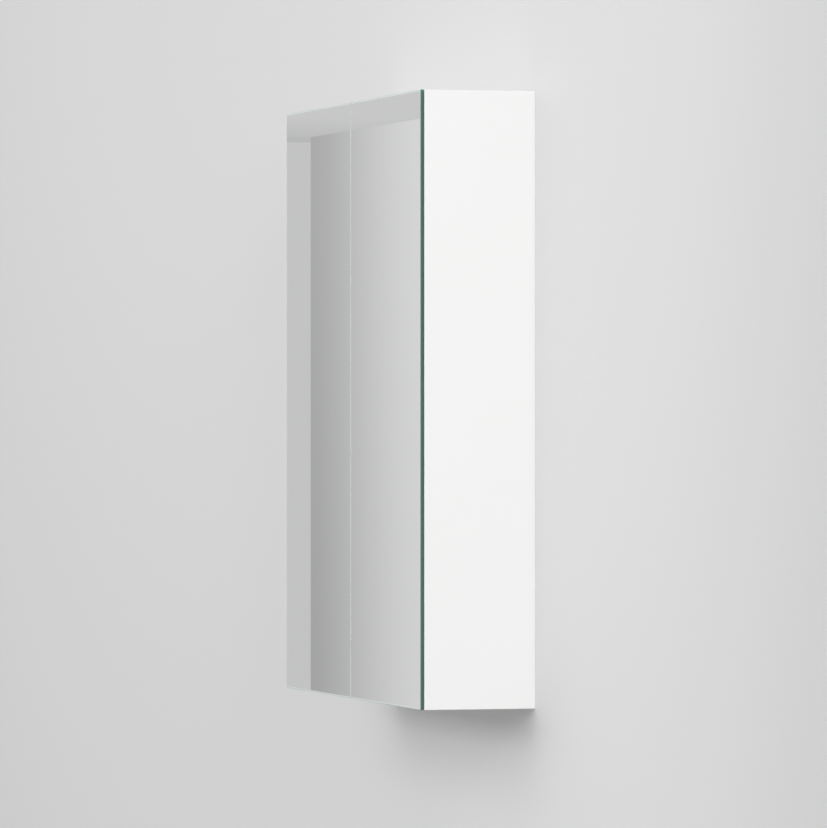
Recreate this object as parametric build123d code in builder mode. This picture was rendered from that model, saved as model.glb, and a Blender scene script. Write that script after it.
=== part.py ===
from build123d import *
import math
import os

os.makedirs("parts", exist_ok=True)

# A wall-hung mirror cabinet with two doors, in millimetres. X runs to the right seen from the
# front, Y towards the wall and Z up. The origin is the centre of the cabinet's underside.

# Overall size
WIDTH = 600.0
HEIGHT = 700.0
DEPTH = 135.0  # from the wall to the face of the mirrors

# Carcass
PANEL = 16.0  # thickness of the lacquered panels
PANEL_EDGE = 0.5  # rounding of the outer edges
BACK = 4.0  # thickness of the back panel
BACK_RECESS = 20.0  # space between the back panel and the wall
GROOVE = 6.0  # depth of the groove round the back panel
GROOVE_FIT = 0.1  # play of the back panel in its groove
GRIP = 20.0  # finger recess under the bottom panel

# Carcass joints: one cam between two dowels at each corner
DOWEL = 8.0
DOWEL_IN_SIDE = 12.0
DOWEL_IN_PANEL = 20.0
DOWEL_FRONT = 24.0  # from the front edge of the panel
DOWEL_TO_BACK = 12.4  # rear dowel to the back panel
CAM = 15.0
CAM_DEPTH = 12.5
CAM_FROM_END = 24.0
CAM_ROW = 60.0  # from the front edge of the panel
CAM_PLAY = 0.1
CAM_CAP = 17.0
CAM_CAP_THICK = 1.2
BOLT = 6.0
BOLT_THREAD = 5.0
BOLT_IN_SIDE = 11.0
BOLT_SHORT = 2.0  # the bolt's end stays this far short of the cam's centre
BOLT_CHANNEL = 8.0

# Doors
GLASS = 4.0  # outer mirror
INNER_GLASS = 3.0  # inner mirror, bonded to the back of the outer one
DOOR_GAP = 0.6  # between the carcass and the back of the outer mirror
MEETING_GAP = 2.0  # between the two doors
ARRIS = 0.6
INNER_MARGIN = 3.0  # inner mirror to the panels round the opening
INNER_MEETING = 4.0  # inner mirror to the middle of the cabinet
BUMPER = 8.0
BUMPER_PLAY = 0.1
BUMPER_FROM_MIDDLE = 25.0

# Shelves
SHELVES = 3
SHELF_GLASS = 5.0
SHELF_END_GAP = 1.0
SHELF_FRONT = 18.0  # from the front edge of the side panel
SHELF_REAR_GAP = 1.0
SYSTEM_ROW = 37.0  # front row of holes, from the front edge of the side panel
SYSTEM_PITCH = 32.0
REAR_ROW = 20.0  # rear row of holes, from the back panel
HOLES_PER_SHELF = 3
SHELF_HOLE = 5.0
SHELF_HOLE_DEPTH = 10.0
PIN_PLAY = 0.1  # shelf pin in its hole
PIN_SHORT = 1.0  # the pin ends this far from the bottom of its hole
SHELF_PIN_OUT = 9.0
TONGUE_WIDTH = 9.0
TONGUE_THICK = 2.0
TONGUE_RISE = 0.5  # underside of the tongue above the axis of the pin
PAD = 6.0
PAD_THICK = 1.0

# Concealed hinges. Distances in the plan are from the side panel's inner face or front edge.
HINGE_FROM_END = 100.0
PIVOT_IN = 1.0  # the doors turn about a line this far inside the outer face
ARM_PIN_OFF = 7.0
ARM_PIN_BACK = 17.0
BOSS_PIN_OFF = 20.0
BOSS_PIN_STAND = 7.6  # above the back of the inner mirror
LINK_WIDTH = 7.0
ARM_LINK_THICK = 4.0
FORK_GAP = 4.6
FORK_CHEEK = 2.0
FORK_WEB = 1.2
FORK_WEB_SHORT = 9.0  # the web stops this far from the knee pin
HUB = 8.0
LUG_PLAY = 0.3
LUG_THICK = 2.0
LUG_WIDTH = 9.0
CHEEK_PLAY = 0.3
CHEEK_THICK = 1.5
CHEEK_NOSE = 4.5  # radius of the arm's nose round its pin
PIN = 4.0
PIN_HEAD = 6.4
PIN_HEAD_THICK = 0.6
RUNNING_FIT = 0.08  # radial play of a link on its pin
KNEE_FIT = 0.2
BOSS_OFF = 8.0
BOSS_WIDTH = 30.0
BOSS_HEIGHT = 42.0
BOSS_THICK = 2.5
BOSS_CORNER = 4.0
PLATE_THICK = 2.5
PLATE_FRONT = 27.0
PLATE_LENGTH = 34.0
PLATE_HEIGHT = 20.0
WING_WIDTH = 13.0
RAIL_HEIGHT = 12.0
RAIL_THICK = 1.5
ARM_SHEET = 1.5
ARM_BASE_FRONT = 24.0
ARM_END = 62.0
ARM_END_RISE = 4.0
PLATE_SCREW = 5.0
PLATE_SCREW_HEAD = 9.0
PLATE_SCREW_IN = 11.0
ARM_SCREW = 4.0
ARM_SCREW_HEAD = 6.5
ARM_SCREW_FRONT = 44.0
ARM_SCREW_REAR = 55.0
ARM_SCREW_IN = 3.5
SCREW_HEAD_THICK = 1.8
DRIVE_LENGTH = 0.55  # arms of the cross recess, as a share of the head
DRIVE_WIDTH = 0.9
DRIVE_DEPTH = 1.0
SPRING_THICK = 0.8
SPRING_WIDTH = 7.0
SPRING_REAR = 4.0  # the spring runs this far past the screw that holds it
SPRING_FIT = 0.3  # tip of the spring to the hub of the arm link

# Hangers behind the back panel and their plates on the wall
HANGER_WIDTH = 44.0
HANGER_HEIGHT = 36.0
HANGER_FIT = 0.3  # hanger to the back panel
HANGER_TO_LIP = 0.2  # hanger to the lip of the wall plate
HANGER_BELOW_TOP = 6.0
PEG = 10.0
PEG_LENGTH = 10.0
PEG_SPACING = 20.0
HOOK_SHEET = 2.0
HOOK_WIDTH = 16.0
HOOK_UP = 26.0  # hook above the underside of the hanger
HOOK_IN = 8.0
HOOK_DROP = 5.0
HOOK_FIT = 0.3
LIP = 6.0
LIP_STAND = 3.5  # clear space between the lip and the wall leg
WALL_PLATE_SHEET = 2.0
WALL_PLATE_WIDTH = 36.0
WALL_PLATE_HEIGHT = 80.0
WALL_HOLE = 5.5
WALL_HOLE_UP = 14.0  # lower hole above the lower edge of the plate
WALL_HOLE_SPACING = 32.0
ADJUSTER = 6.0
ADJUSTER_SPACING = 16.0
ADJUSTER_IN = 6.0
ACCESS_WIDTH = 30.0
ACCESS_HEIGHT = 12.0
COVER_LAP = 5.0
COVER_THICK = 1.5
COVER_PLUG = 0.8
COVER_FIT = 0.2

# Faces and levels that follow from these sizes
left = -WIDTH / 2
wall = DEPTH / 2
mirror_face = -DEPTH / 2
carcass_front = mirror_face + GLASS + DOOR_GAP
carcass_depth = wall - carcass_front
inner_width = WIDTH - 2 * PANEL
back_rear = wall - BACK_RECESS
back_front = back_rear - BACK
floor_level = GRIP + PANEL
ceiling_level = HEIGHT - PANEL
inner_height = ceiling_level - floor_level
inner_back = INNER_GLASS - DOOR_GAP  # back of the inner mirror, from the carcass front edge

# Work planes of the left half. The plan is seen from above, from the front outer corner.
plan = Plane((left, carcass_front, 0))
section = Plane(origin=(left, 0, 0), x_dir=(0, 1, 0), z_dir=(1, 0, 0))
side_face = Plane(origin=(left + PANEL, carcass_front, 0), x_dir=(0, 1, 0), z_dir=(1, 0, 0))
front_view = Plane(origin=(left, 0, 0), x_dir=(1, 0, 0), z_dir=(0, -1, 0))


def save(piece, name):
    """Name a finished piece and write it."""
    piece.part.label = name
    export_step(piece.part, f"parts/{name}.step")


def save_both_sides(piece, name):
    """Write a piece of the left half and its mirror image on the right."""
    save(piece, f"{name}_left")
    with BuildPart() as right_piece:
        mirror(piece.part, about=Plane.YZ)
    save(right_piece, f"{name}_right")


def bar(start, end, width):
    """A flat bar with round ends, added to the sketch in work."""
    run = end - start
    middle = start + run / 2
    with Locations((middle.X, middle.Y)):
        SlotCenterToCenter(run.length, width, rotation=math.degrees(math.atan2(run.Y, run.X)))


def cross(head):
    """The cross recess of a screw head of this diameter, added to the sketch in work."""
    Rectangle(head * DRIVE_LENGTH, DRIVE_WIDTH)
    Rectangle(DRIVE_WIDTH, head * DRIVE_LENGTH)


# Hole positions on the side panel, as distance from the front edge and height
shelf_levels = [floor_level + (i + 1) * inner_height / (SHELVES + 1) for i in range(SHELVES)]
rear_row = back_front - carcass_front - REAR_ROW
pin_rows = (SYSTEM_ROW, rear_row)
hole_steps = [(i - (HOLES_PER_SHELF - 1) / 2) * SYSTEM_PITCH for i in range(HOLES_PER_SHELF)]
shelf_holes = [(row, level + step) for row in pin_rows for level in shelf_levels for step in hole_steps]
hinge_heights = {"lower": HINGE_FROM_END, "upper": HEIGHT - HINGE_FROM_END}
plate_screw_points = [
    (SYSTEM_ROW, z + side * SYSTEM_PITCH / 2) for z in hinge_heights.values() for side in (-1, 1)
]
corner_levels = (GRIP + PANEL / 2, ceiling_level + PANEL / 2)
dowel_rear = back_front - carcass_front - DOWEL_TO_BACK
dowel_points = [(row, z) for row in (DOWEL_FRONT, dowel_rear) for z in corner_levels]
bolt_points = [(CAM_ROW, z) for z in corner_levels]
hanger_top = ceiling_level - HANGER_BELOW_TOP
hanger_middle = hanger_top - HANGER_HEIGHT / 2
lip_rear = wall - WALL_PLATE_SHEET - LIP_STAND
lip_front = lip_rear - WALL_PLATE_SHEET
hanger_front = back_rear + HANGER_FIT
hanger_rear = lip_front - HANGER_TO_LIP
hanger_centre = PANEL + HANGER_WIDTH / 2  # from the outer face of the side panel
peg_row = (hanger_front + hanger_rear) / 2 - carcass_front
peg_points = [(peg_row, hanger_middle + side * PEG_SPACING / 2) for side in (-1, 1)]

# Side panels
with BuildPart() as side_panel:
    with BuildSketch(plan):
        Rectangle(PANEL, carcass_depth, align=Align.MIN)
    extrude(amount=HEIGHT)
    fillet(side_panel.faces().sort_by(Axis.X)[0].edges(), PANEL_EDGE)
    with BuildSketch(plan.offset(floor_level - GROOVE)):
        with Locations((PANEL - GROOVE, back_front - carcass_front - GROOVE_FIT)):
            Rectangle(GROOVE, BACK + 2 * GROOVE_FIT, align=Align.MIN)
    extrude(amount=inner_height + 2 * GROOVE, mode=Mode.SUBTRACT)
    with BuildSketch(side_face):
        with Locations(shelf_holes):
            Circle(SHELF_HOLE / 2)
    extrude(amount=-SHELF_HOLE_DEPTH, mode=Mode.SUBTRACT)
    with BuildSketch(side_face):
        with Locations(plate_screw_points):
            Circle(PLATE_SCREW / 2)
    extrude(amount=-PLATE_SCREW_IN, mode=Mode.SUBTRACT)
    with BuildSketch(side_face):
        with Locations(dowel_points):
            Circle(DOWEL / 2)
    extrude(amount=-DOWEL_IN_SIDE, mode=Mode.SUBTRACT)
    with BuildSketch(side_face):
        with Locations(bolt_points):
            Circle(BOLT_THREAD / 2)
    extrude(amount=-BOLT_IN_SIDE, mode=Mode.SUBTRACT)
    with BuildSketch(side_face):
        with Locations(peg_points):
            Circle(PEG / 2)
    extrude(amount=-PEG_LENGTH, mode=Mode.SUBTRACT)
save_both_sides(side_panel, "side_panel")


def crosswise_panel(underside, groove_level):
    """The top or the bottom panel: grooved for the back, bored at both ends for its joints."""
    middle = underside + PANEL / 2
    with BuildPart() as panel:
        with BuildSketch(plan.offset(underside)):
            with Locations((PANEL, 0)):
                Rectangle(inner_width / 2, carcass_depth, align=Align.MIN)
        extrude(amount=PANEL)
        with BuildSketch(plan.offset(groove_level)):
            with Locations((PANEL, back_front - carcass_front - GROOVE_FIT)):
                Rectangle(inner_width / 2, BACK + 2 * GROOVE_FIT, align=Align.MIN)
        extrude(amount=GROOVE, mode=Mode.SUBTRACT)
        with BuildSketch(side_face):
            with Locations((DOWEL_FRONT, middle), (dowel_rear, middle)):
                Circle(DOWEL / 2)
        extrude(amount=DOWEL_IN_PANEL, mode=Mode.SUBTRACT)
        with BuildSketch(side_face):
            with Locations((CAM_ROW, middle)):
                Circle(BOLT_CHANNEL / 2)
        extrude(amount=CAM_FROM_END, mode=Mode.SUBTRACT)
        with BuildSketch(plan.offset(underside)):
            with Locations((PANEL + CAM_FROM_END, CAM_ROW)):
                Circle(CAM / 2)
        extrude(amount=CAM_DEPTH, mode=Mode.SUBTRACT)
        mirror(about=Plane.YZ)
    return panel


save(crosswise_panel(ceiling_level, ceiling_level), "top_panel")
save(crosswise_panel(GRIP, floor_level - GROOVE), "bottom_panel")

# Back panel, with a slot at each hanger for reaching its adjusting screws
access_points = [(hanger_centre, hanger_middle), (WIDTH - hanger_centre, hanger_middle)]
with BuildPart() as back_panel:
    with BuildSketch(front_view.offset(-back_rear)):
        with Locations((WIDTH / 2, floor_level + inner_height / 2)):
            Rectangle(inner_width + 2 * (GROOVE - GROOVE_FIT), inner_height + 2 * (GROOVE - GROOVE_FIT))
        with Locations(access_points):
            SlotOverall(ACCESS_WIDTH, ACCESS_HEIGHT, mode=Mode.SUBTRACT)
    extrude(amount=BACK)
save(back_panel, "back_panel")

# Dowels, cams and their bolts and caps
with BuildPart() as dowels:
    with BuildSketch(side_face.offset(-DOWEL_IN_SIDE)):
        with Locations(dowel_points):
            Circle(DOWEL / 2)
    extrude(amount=DOWEL_IN_SIDE + DOWEL_IN_PANEL)
    mirror(about=Plane.YZ)
save(dowels, "dowels")

with BuildPart() as cam_housings:
    for underside in (GRIP, ceiling_level):
        with BuildSketch(plan.offset(underside)):
            with Locations((PANEL + CAM_FROM_END, CAM_ROW)):
                Circle(CAM / 2 - CAM_PLAY)
        extrude(amount=CAM_DEPTH)
        with BuildSketch(plan.offset(underside)):
            with Locations((PANEL + CAM_FROM_END, CAM_ROW)):
                cross(CAM)
        extrude(amount=DRIVE_DEPTH, mode=Mode.SUBTRACT)
    with BuildSketch(side_face):
        with Locations(bolt_points):
            Circle(BOLT_CHANNEL / 2)
    extrude(amount=CAM_FROM_END, mode=Mode.SUBTRACT)
    mirror(about=Plane.YZ)
save(cam_housings, "cam_housings")

with BuildPart() as cam_bolts:
    with BuildSketch(side_face.offset(-BOLT_IN_SIDE)):
        with Locations(bolt_points):
            Circle(BOLT_THREAD / 2)
    extrude(amount=BOLT_IN_SIDE)
    with BuildSketch(side_face):
        with Locations(bolt_points):
            Circle(BOLT / 2)
    extrude(amount=CAM_FROM_END - BOLT_SHORT)
    mirror(about=Plane.YZ)
save(cam_bolts, "cam_bolts")

with BuildPart() as cam_caps:
    for underside in (GRIP, ceiling_level):
        with BuildSketch(plan.offset(underside)):
            with Locations((PANEL + CAM_FROM_END, CAM_ROW)):
                Circle(CAM_CAP / 2)
        extrude(amount=-CAM_CAP_THICK)
    fillet(cam_caps.faces().filter_by(GeomType.CYLINDER).edges().group_by(Axis.Z)[0], CAM_CAP_THICK / 2)
    mirror(about=Plane.YZ)
save(cam_caps, "cam_caps")

# Glass shelves on pins with soft pads
shelf_underside = TONGUE_RISE + TONGUE_THICK + PAD_THICK  # above the axis of the pins
shelf_depth = back_front - carcass_front - SHELF_REAR_GAP - SHELF_FRONT
for number, level in enumerate(shelf_levels, start=1):
    with BuildPart() as shelf:
        with BuildSketch(plan.offset(level + shelf_underside)):
            with Locations((PANEL + SHELF_END_GAP, SHELF_FRONT)):
                Rectangle(inner_width - 2 * SHELF_END_GAP, shelf_depth, align=Align.MIN)
        extrude(amount=SHELF_GLASS)
        chamfer(shelf.edges(), ARRIS)
    save(shelf, f"shelf_{number}")

shelf_pin_points = [(row, level) for row in pin_rows for level in shelf_levels]
pin_in = SHELF_HOLE_DEPTH - PIN_SHORT
with BuildPart() as shelf_pins:
    with BuildSketch(side_face.offset(-pin_in)):
        with Locations(shelf_pin_points):
            Circle((SHELF_HOLE - PIN_PLAY) / 2)
    extrude(amount=pin_in + SHELF_PIN_OUT)
    with BuildSketch(side_face):
        with Locations([(row, level + TONGUE_RISE) for row, level in shelf_pin_points]):
            Rectangle(TONGUE_WIDTH, TONGUE_THICK, align=(Align.CENTER, Align.MIN))
    extrude(amount=SHELF_PIN_OUT)
    mirror(about=Plane.YZ)
save(shelf_pins, "shelf_pins")

with BuildPart() as shelf_pads:
    for level in shelf_levels:
        with BuildSketch(plan.offset(level + TONGUE_RISE + TONGUE_THICK)):
            with Locations([(PANEL + SHELF_PIN_OUT / 2, row) for row in pin_rows]):
                Circle(PAD / 2)
        extrude(amount=PAD_THICK)
    mirror(about=Plane.YZ)
save(shelf_pads, "shelf_pads")

# Doors: an outer mirror over the whole front and an inner mirror inside the opening
with BuildPart() as door_mirror:
    with BuildSketch(plan):
        with Locations((0, -DOOR_GAP)):
            Rectangle(WIDTH / 2 - MEETING_GAP / 2, GLASS, align=(Align.MIN, Align.MAX))
    extrude(amount=HEIGHT)
    chamfer(door_mirror.edges(), ARRIS)
save_both_sides(door_mirror, "door_mirror")

with BuildPart() as inner_mirror:
    with BuildSketch(plan.offset(floor_level + INNER_MARGIN)):
        with Locations((PANEL + INNER_MARGIN, -DOOR_GAP)):
            Rectangle(WIDTH / 2 - PANEL - INNER_MARGIN - INNER_MEETING, INNER_GLASS, align=Align.MIN)
    extrude(amount=inner_height - 2 * INNER_MARGIN)
    chamfer(inner_mirror.faces().sort_by(Axis.Y)[-1].edges(), ARRIS)
save_both_sides(inner_mirror, "inner_mirror")

with BuildPart() as door_bumpers:
    with BuildSketch(front_view.offset(-carcass_front)):
        with Locations([(WIDTH / 2 - BUMPER_FROM_MIDDLE, z) for z in corner_levels]):
            Circle(BUMPER / 2)
    extrude(amount=DOOR_GAP - BUMPER_PLAY)
    mirror(about=Plane.YZ)
save(door_bumpers, "door_bumpers")

# Hinge points in the plan. The door turns about the pivot. The arm link keeps parallel to the
# line from the pivot to the boss pin, and the boss link to the line from the pivot to the arm
# pin, so that both meet at the knee pin in every position of the door.
pivot = Vector(PIVOT_IN, -DOOR_GAP - GLASS)
arm_pin = Vector(PANEL + ARM_PIN_OFF, ARM_PIN_BACK)
boss_pin = Vector(PANEL + BOSS_PIN_OFF, inner_back + BOSS_PIN_STAND)
knee_pin = arm_pin + boss_pin - pivot
fork_half = FORK_GAP / 2 + FORK_CHEEK
lug_half = fork_half + LUG_PLAY + LUG_THICK
hub_half = lug_half
cheek_half = hub_half + CHEEK_PLAY + CHEEK_THICK
rail_face = PANEL + PLATE_THICK + RAIL_THICK  # where the arm sits, from the outer face
arm_floor = rail_face + ARM_SHEET
cheek_edge = arm_pin.X + CHEEK_NOSE
plate_face = side_face.offset(PLATE_THICK)
floor_face = side_face.offset(arm_floor - PANEL)
spring_tip = arm_pin.Y + HUB / 2 + SPRING_FIT

for level, z in hinge_heights.items():
    hinge = plan.offset(z)

    # Mounting plate on the side panel
    with BuildPart() as hinge_plate:
        with BuildSketch(side_face):
            with Locations((PLATE_FRONT + PLATE_LENGTH / 2, z)):
                Rectangle(PLATE_LENGTH, PLATE_HEIGHT)
            with Locations((SYSTEM_ROW, z)):
                SlotOverall(SYSTEM_PITCH + WING_WIDTH, WING_WIDTH, rotation=90)
        extrude(amount=PLATE_THICK)
        with BuildSketch(plate_face):
            with Locations((PLATE_FRONT + PLATE_LENGTH / 2, z)):
                Rectangle(PLATE_LENGTH, RAIL_HEIGHT)
        extrude(amount=RAIL_THICK)
        with BuildSketch(side_face):
            with Locations([point for point in plate_screw_points if abs(point[1] - z) < SYSTEM_PITCH]):
                Circle(PLATE_SCREW / 2)
        extrude(amount=PLATE_THICK, mode=Mode.SUBTRACT)
        with BuildSketch(side_face.offset(PLATE_THICK + RAIL_THICK)):
            with Locations((ARM_SCREW_FRONT, z), (ARM_SCREW_REAR, z)):
                Circle(ARM_SCREW / 2)
        extrude(amount=-ARM_SCREW_IN, mode=Mode.SUBTRACT)
    save_both_sides(hinge_plate, f"hinge_plate_{level}")

    # Arm: a channel open to the front, with its nose round the arm pin
    with BuildPart() as hinge_arm:
        with BuildSketch(hinge):
            Polygon(
                (rail_face, ARM_END),
                (rail_face, arm_pin.Y),
                (cheek_edge, arm_pin.Y),
                (cheek_edge, ARM_SCREW_FRONT),
                (arm_floor + ARM_END_RISE, ARM_END),
            )
            with Locations(arm_pin):
                Circle(CHEEK_NOSE)
        extrude(amount=cheek_half, both=True)
        with BuildSketch(hinge):
            with Locations((arm_floor, 0)):
                Rectangle(cheek_edge - arm_floor, ARM_END, align=Align.MIN)
            Rectangle(cheek_edge, ARM_BASE_FRONT, align=Align.MIN)
        extrude(amount=cheek_half - CHEEK_THICK, both=True, mode=Mode.SUBTRACT)
        with BuildSketch(hinge):
            with Locations(arm_pin):
                Circle(PIN / 2)
        extrude(amount=cheek_half, both=True, mode=Mode.SUBTRACT)
        with BuildSketch(floor_face):
            with Locations((ARM_SCREW_FRONT, z), (ARM_SCREW_REAR, z)):
                Circle(ARM_SCREW / 2)
        extrude(amount=-ARM_SHEET, mode=Mode.SUBTRACT)
    save_both_sides(hinge_arm, f"hinge_arm_{level}")

    # Arm link: a flat bar with a tall hub on the arm pin
    with BuildPart() as arm_link:
        with BuildSketch(hinge):
            bar(arm_pin, knee_pin, LINK_WIDTH)
        extrude(amount=ARM_LINK_THICK / 2, both=True)
        with BuildSketch(hinge):
            with Locations(arm_pin):
                Circle(HUB / 2)
        extrude(amount=hub_half, both=True)
        with BuildSketch(hinge):
            with Locations(arm_pin):
                Circle(PIN / 2 + RUNNING_FIT)
            with Locations(knee_pin):
                Circle(PIN / 2 + KNEE_FIT)
        extrude(amount=hub_half, both=True, mode=Mode.SUBTRACT)
    save_both_sides(arm_link, f"hinge_arm_link_{level}")

    # Boss link: a fork whose web lies on the side that the arm link never reaches
    link_run = knee_pin - boss_pin
    link_way = link_run.normalized()
    web_side = Vector(link_way.Y, -link_way.X)
    web_length = link_run.length - FORK_WEB_SHORT
    web_middle = boss_pin + link_way * (web_length / 2) + web_side * (LINK_WIDTH - FORK_WEB) / 2
    link_angle = math.degrees(math.atan2(link_run.Y, link_run.X))
    with BuildPart() as boss_link:
        with BuildSketch(hinge):
            bar(boss_pin, knee_pin, LINK_WIDTH)
        extrude(amount=fork_half, both=True)
        with BuildSketch(hinge):
            bar(boss_pin, knee_pin, 2 * LINK_WIDTH)
            with Locations((web_middle.X, web_middle.Y)):
                Rectangle(web_length, FORK_WEB, rotation=link_angle, mode=Mode.SUBTRACT)
        extrude(amount=FORK_GAP / 2, both=True, mode=Mode.SUBTRACT)
        with BuildSketch(hinge):
            with Locations(boss_pin):
                Circle(PIN / 2 + RUNNING_FIT)
            with Locations(knee_pin):
                Circle(PIN / 2)
        extrude(amount=fork_half, both=True, mode=Mode.SUBTRACT)
    save_both_sides(boss_link, f"hinge_boss_link_{level}")

    # Boss: a base bonded to the inner mirror, with two lugs that hold the boss pin
    base_top = inner_back + BOSS_THICK
    with BuildPart() as hinge_boss:
        with BuildSketch(hinge):
            with Locations((PANEL + BOSS_OFF, inner_back)):
                Rectangle(BOSS_WIDTH, BOSS_THICK, align=Align.MIN)
        extrude(amount=BOSS_HEIGHT / 2, both=True)
        fillet(hinge_boss.edges().filter_by(Axis.Y), BOSS_CORNER)
        with BuildSketch(hinge):
            with Locations((boss_pin.X, base_top)):
                Rectangle(LUG_WIDTH, boss_pin.Y - base_top, align=(Align.CENTER, Align.MIN))
            with Locations(boss_pin):
                Circle(LUG_WIDTH / 2)
            with Locations((boss_pin.X, base_top)):
                Rectangle(2 * LUG_WIDTH, LUG_WIDTH, align=(Align.CENTER, Align.MAX), mode=Mode.SUBTRACT)
            with Locations(boss_pin):
                Circle(PIN / 2, mode=Mode.SUBTRACT)
        lugs = extrude(amount=lug_half, both=True, mode=Mode.PRIVATE)
        with BuildSketch(hinge):
            with Locations((boss_pin.X, base_top)):
                Rectangle(2 * LUG_WIDTH, 2 * LUG_WIDTH, align=(Align.CENTER, Align.MIN))
        fork_room = extrude(amount=lug_half - LUG_THICK, both=True, mode=Mode.PRIVATE)
        add(lugs - fork_room)
    save_both_sides(hinge_boss, f"hinge_boss_{level}")


def rivets(point, half_length):
    """Headed pins at one point of the plan, in both hinges of the left door."""
    with BuildPart() as pins:
        for z in hinge_heights.values():
            with BuildSketch(plan.offset(z)):
                with Locations(point):
                    Circle(PIN / 2)
            extrude(amount=half_length + PIN_HEAD_THICK, both=True)
            for end in (-1, 1):
                with BuildSketch(plan.offset(z + end * half_length)):
                    with Locations(point):
                        Circle(PIN_HEAD / 2)
                extrude(amount=end * PIN_HEAD_THICK)
    return pins


save_both_sides(rivets(boss_pin, lug_half), "boss_pins")
save_both_sides(rivets(knee_pin, fork_half), "knee_pins")
with BuildPart() as arm_pins:
    add(rivets(arm_pin, cheek_half).part)
    mirror(about=Plane.YZ)
save(arm_pins, "arm_pins")

with BuildPart() as plate_screws:
    with BuildSketch(side_face.offset(-PLATE_SCREW_IN)):
        with Locations(plate_screw_points):
            Circle(PLATE_SCREW / 2)
    extrude(amount=PLATE_SCREW_IN + PLATE_THICK)
    with BuildSketch(plate_face):
        with Locations(plate_screw_points):
            Circle(PLATE_SCREW_HEAD / 2)
    extrude(amount=SCREW_HEAD_THICK)
    with BuildSketch(plate_face.offset(SCREW_HEAD_THICK)):
        with Locations(plate_screw_points):
            cross(PLATE_SCREW_HEAD)
    extrude(amount=-DRIVE_DEPTH, mode=Mode.SUBTRACT)
    mirror(about=Plane.YZ)
save(plate_screws, "plate_screws")

with BuildPart() as arm_screws:
    for row, seat in ((ARM_SCREW_FRONT, SPRING_THICK), (ARM_SCREW_REAR, 0.0)):
        points = [(row, z) for z in hinge_heights.values()]
        head_seat = floor_face.offset(seat)
        with BuildSketch(head_seat):
            with Locations(points):
                Circle(ARM_SCREW / 2)
        extrude(amount=-(seat + ARM_SHEET + ARM_SCREW_IN))
        with BuildSketch(head_seat):
            with Locations(points):
                Circle(ARM_SCREW_HEAD / 2)
        extrude(amount=SCREW_HEAD_THICK)
        with BuildSketch(head_seat.offset(SCREW_HEAD_THICK)):
            with Locations(points):
                cross(ARM_SCREW_HEAD)
        extrude(amount=-DRIVE_DEPTH, mode=Mode.SUBTRACT)
    mirror(about=Plane.YZ)
save(arm_screws, "arm_screws")

with BuildPart() as hinge_springs:
    with BuildSketch(floor_face):
        with Locations([(spring_tip, z) for z in hinge_heights.values()]):
            Rectangle(
                ARM_SCREW_FRONT + SPRING_REAR - spring_tip,
                SPRING_WIDTH,
                align=(Align.MIN, Align.CENTER),
            )
        with Locations([(ARM_SCREW_FRONT, z) for z in hinge_heights.values()]):
            Circle(ARM_SCREW / 2, mode=Mode.SUBTRACT)
    extrude(amount=SPRING_THICK)
    mirror(about=Plane.YZ)
save(hinge_springs, "hinge_springs")

# Hangers: a housing pegged to the side panel, with a hook that rests on the wall plate's lip
hook_level = hanger_top - HANGER_HEIGHT + HOOK_UP
hook_front = hanger_rear - HOOK_IN
adjuster_points = [
    (hanger_centre + side * ADJUSTER_SPACING / 2, hanger_middle) for side in (-1, 1)
]
with BuildPart() as hanger:
    with BuildSketch(front_view.offset(-hanger_rear)):
        with Locations((PANEL, hanger_top)):
            Rectangle(HANGER_WIDTH, HANGER_HEIGHT, align=(Align.MIN, Align.MAX))
    extrude(amount=hanger_rear - hanger_front)
    with BuildSketch(side_face):
        with Locations(peg_points):
            Circle(PEG / 2)
    extrude(amount=-PEG_LENGTH)
    with BuildSketch(front_view.offset(-hanger_rear)):
        with Locations((hanger_centre, hook_level)):
            Rectangle(HOOK_WIDTH, HOOK_SHEET, align=(Align.CENTER, Align.MIN))
    extrude(amount=HOOK_IN, mode=Mode.SUBTRACT)
    with BuildSketch(front_view.offset(-hanger_front)):
        with Locations(adjuster_points):
            Circle(ADJUSTER / 2)
    extrude(amount=-ADJUSTER_IN, mode=Mode.SUBTRACT)
save_both_sides(hanger, "hanger")

with BuildPart() as hanger_hook:
    with BuildSketch(section.offset(hanger_centre - HOOK_WIDTH / 2)):
        Polygon(
            (hook_front, hook_level),
            (lip_rear + HOOK_FIT, hook_level),
            (lip_rear + HOOK_FIT, hook_level - HOOK_DROP),
            (lip_rear + HOOK_FIT + HOOK_SHEET, hook_level - HOOK_DROP),
            (lip_rear + HOOK_FIT + HOOK_SHEET, hook_level + HOOK_SHEET),
            (hook_front, hook_level + HOOK_SHEET),
        )
    extrude(amount=HOOK_WIDTH)
save_both_sides(hanger_hook, "hanger_hook")

screw_face = back_front + COVER_PLUG + COVER_FIT
with BuildPart() as hanger_screws:
    with BuildSketch(front_view.offset(-screw_face)):
        with Locations(adjuster_points):
            Circle(ADJUSTER / 2)
    extrude(amount=-(hanger_front + ADJUSTER_IN - screw_face))
    with BuildSketch(front_view.offset(-screw_face)):
        with Locations(adjuster_points):
            cross(ADJUSTER)
    extrude(amount=-DRIVE_DEPTH, mode=Mode.SUBTRACT)
    mirror(about=Plane.YZ)
save(hanger_screws, "hanger_screws")

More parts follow.
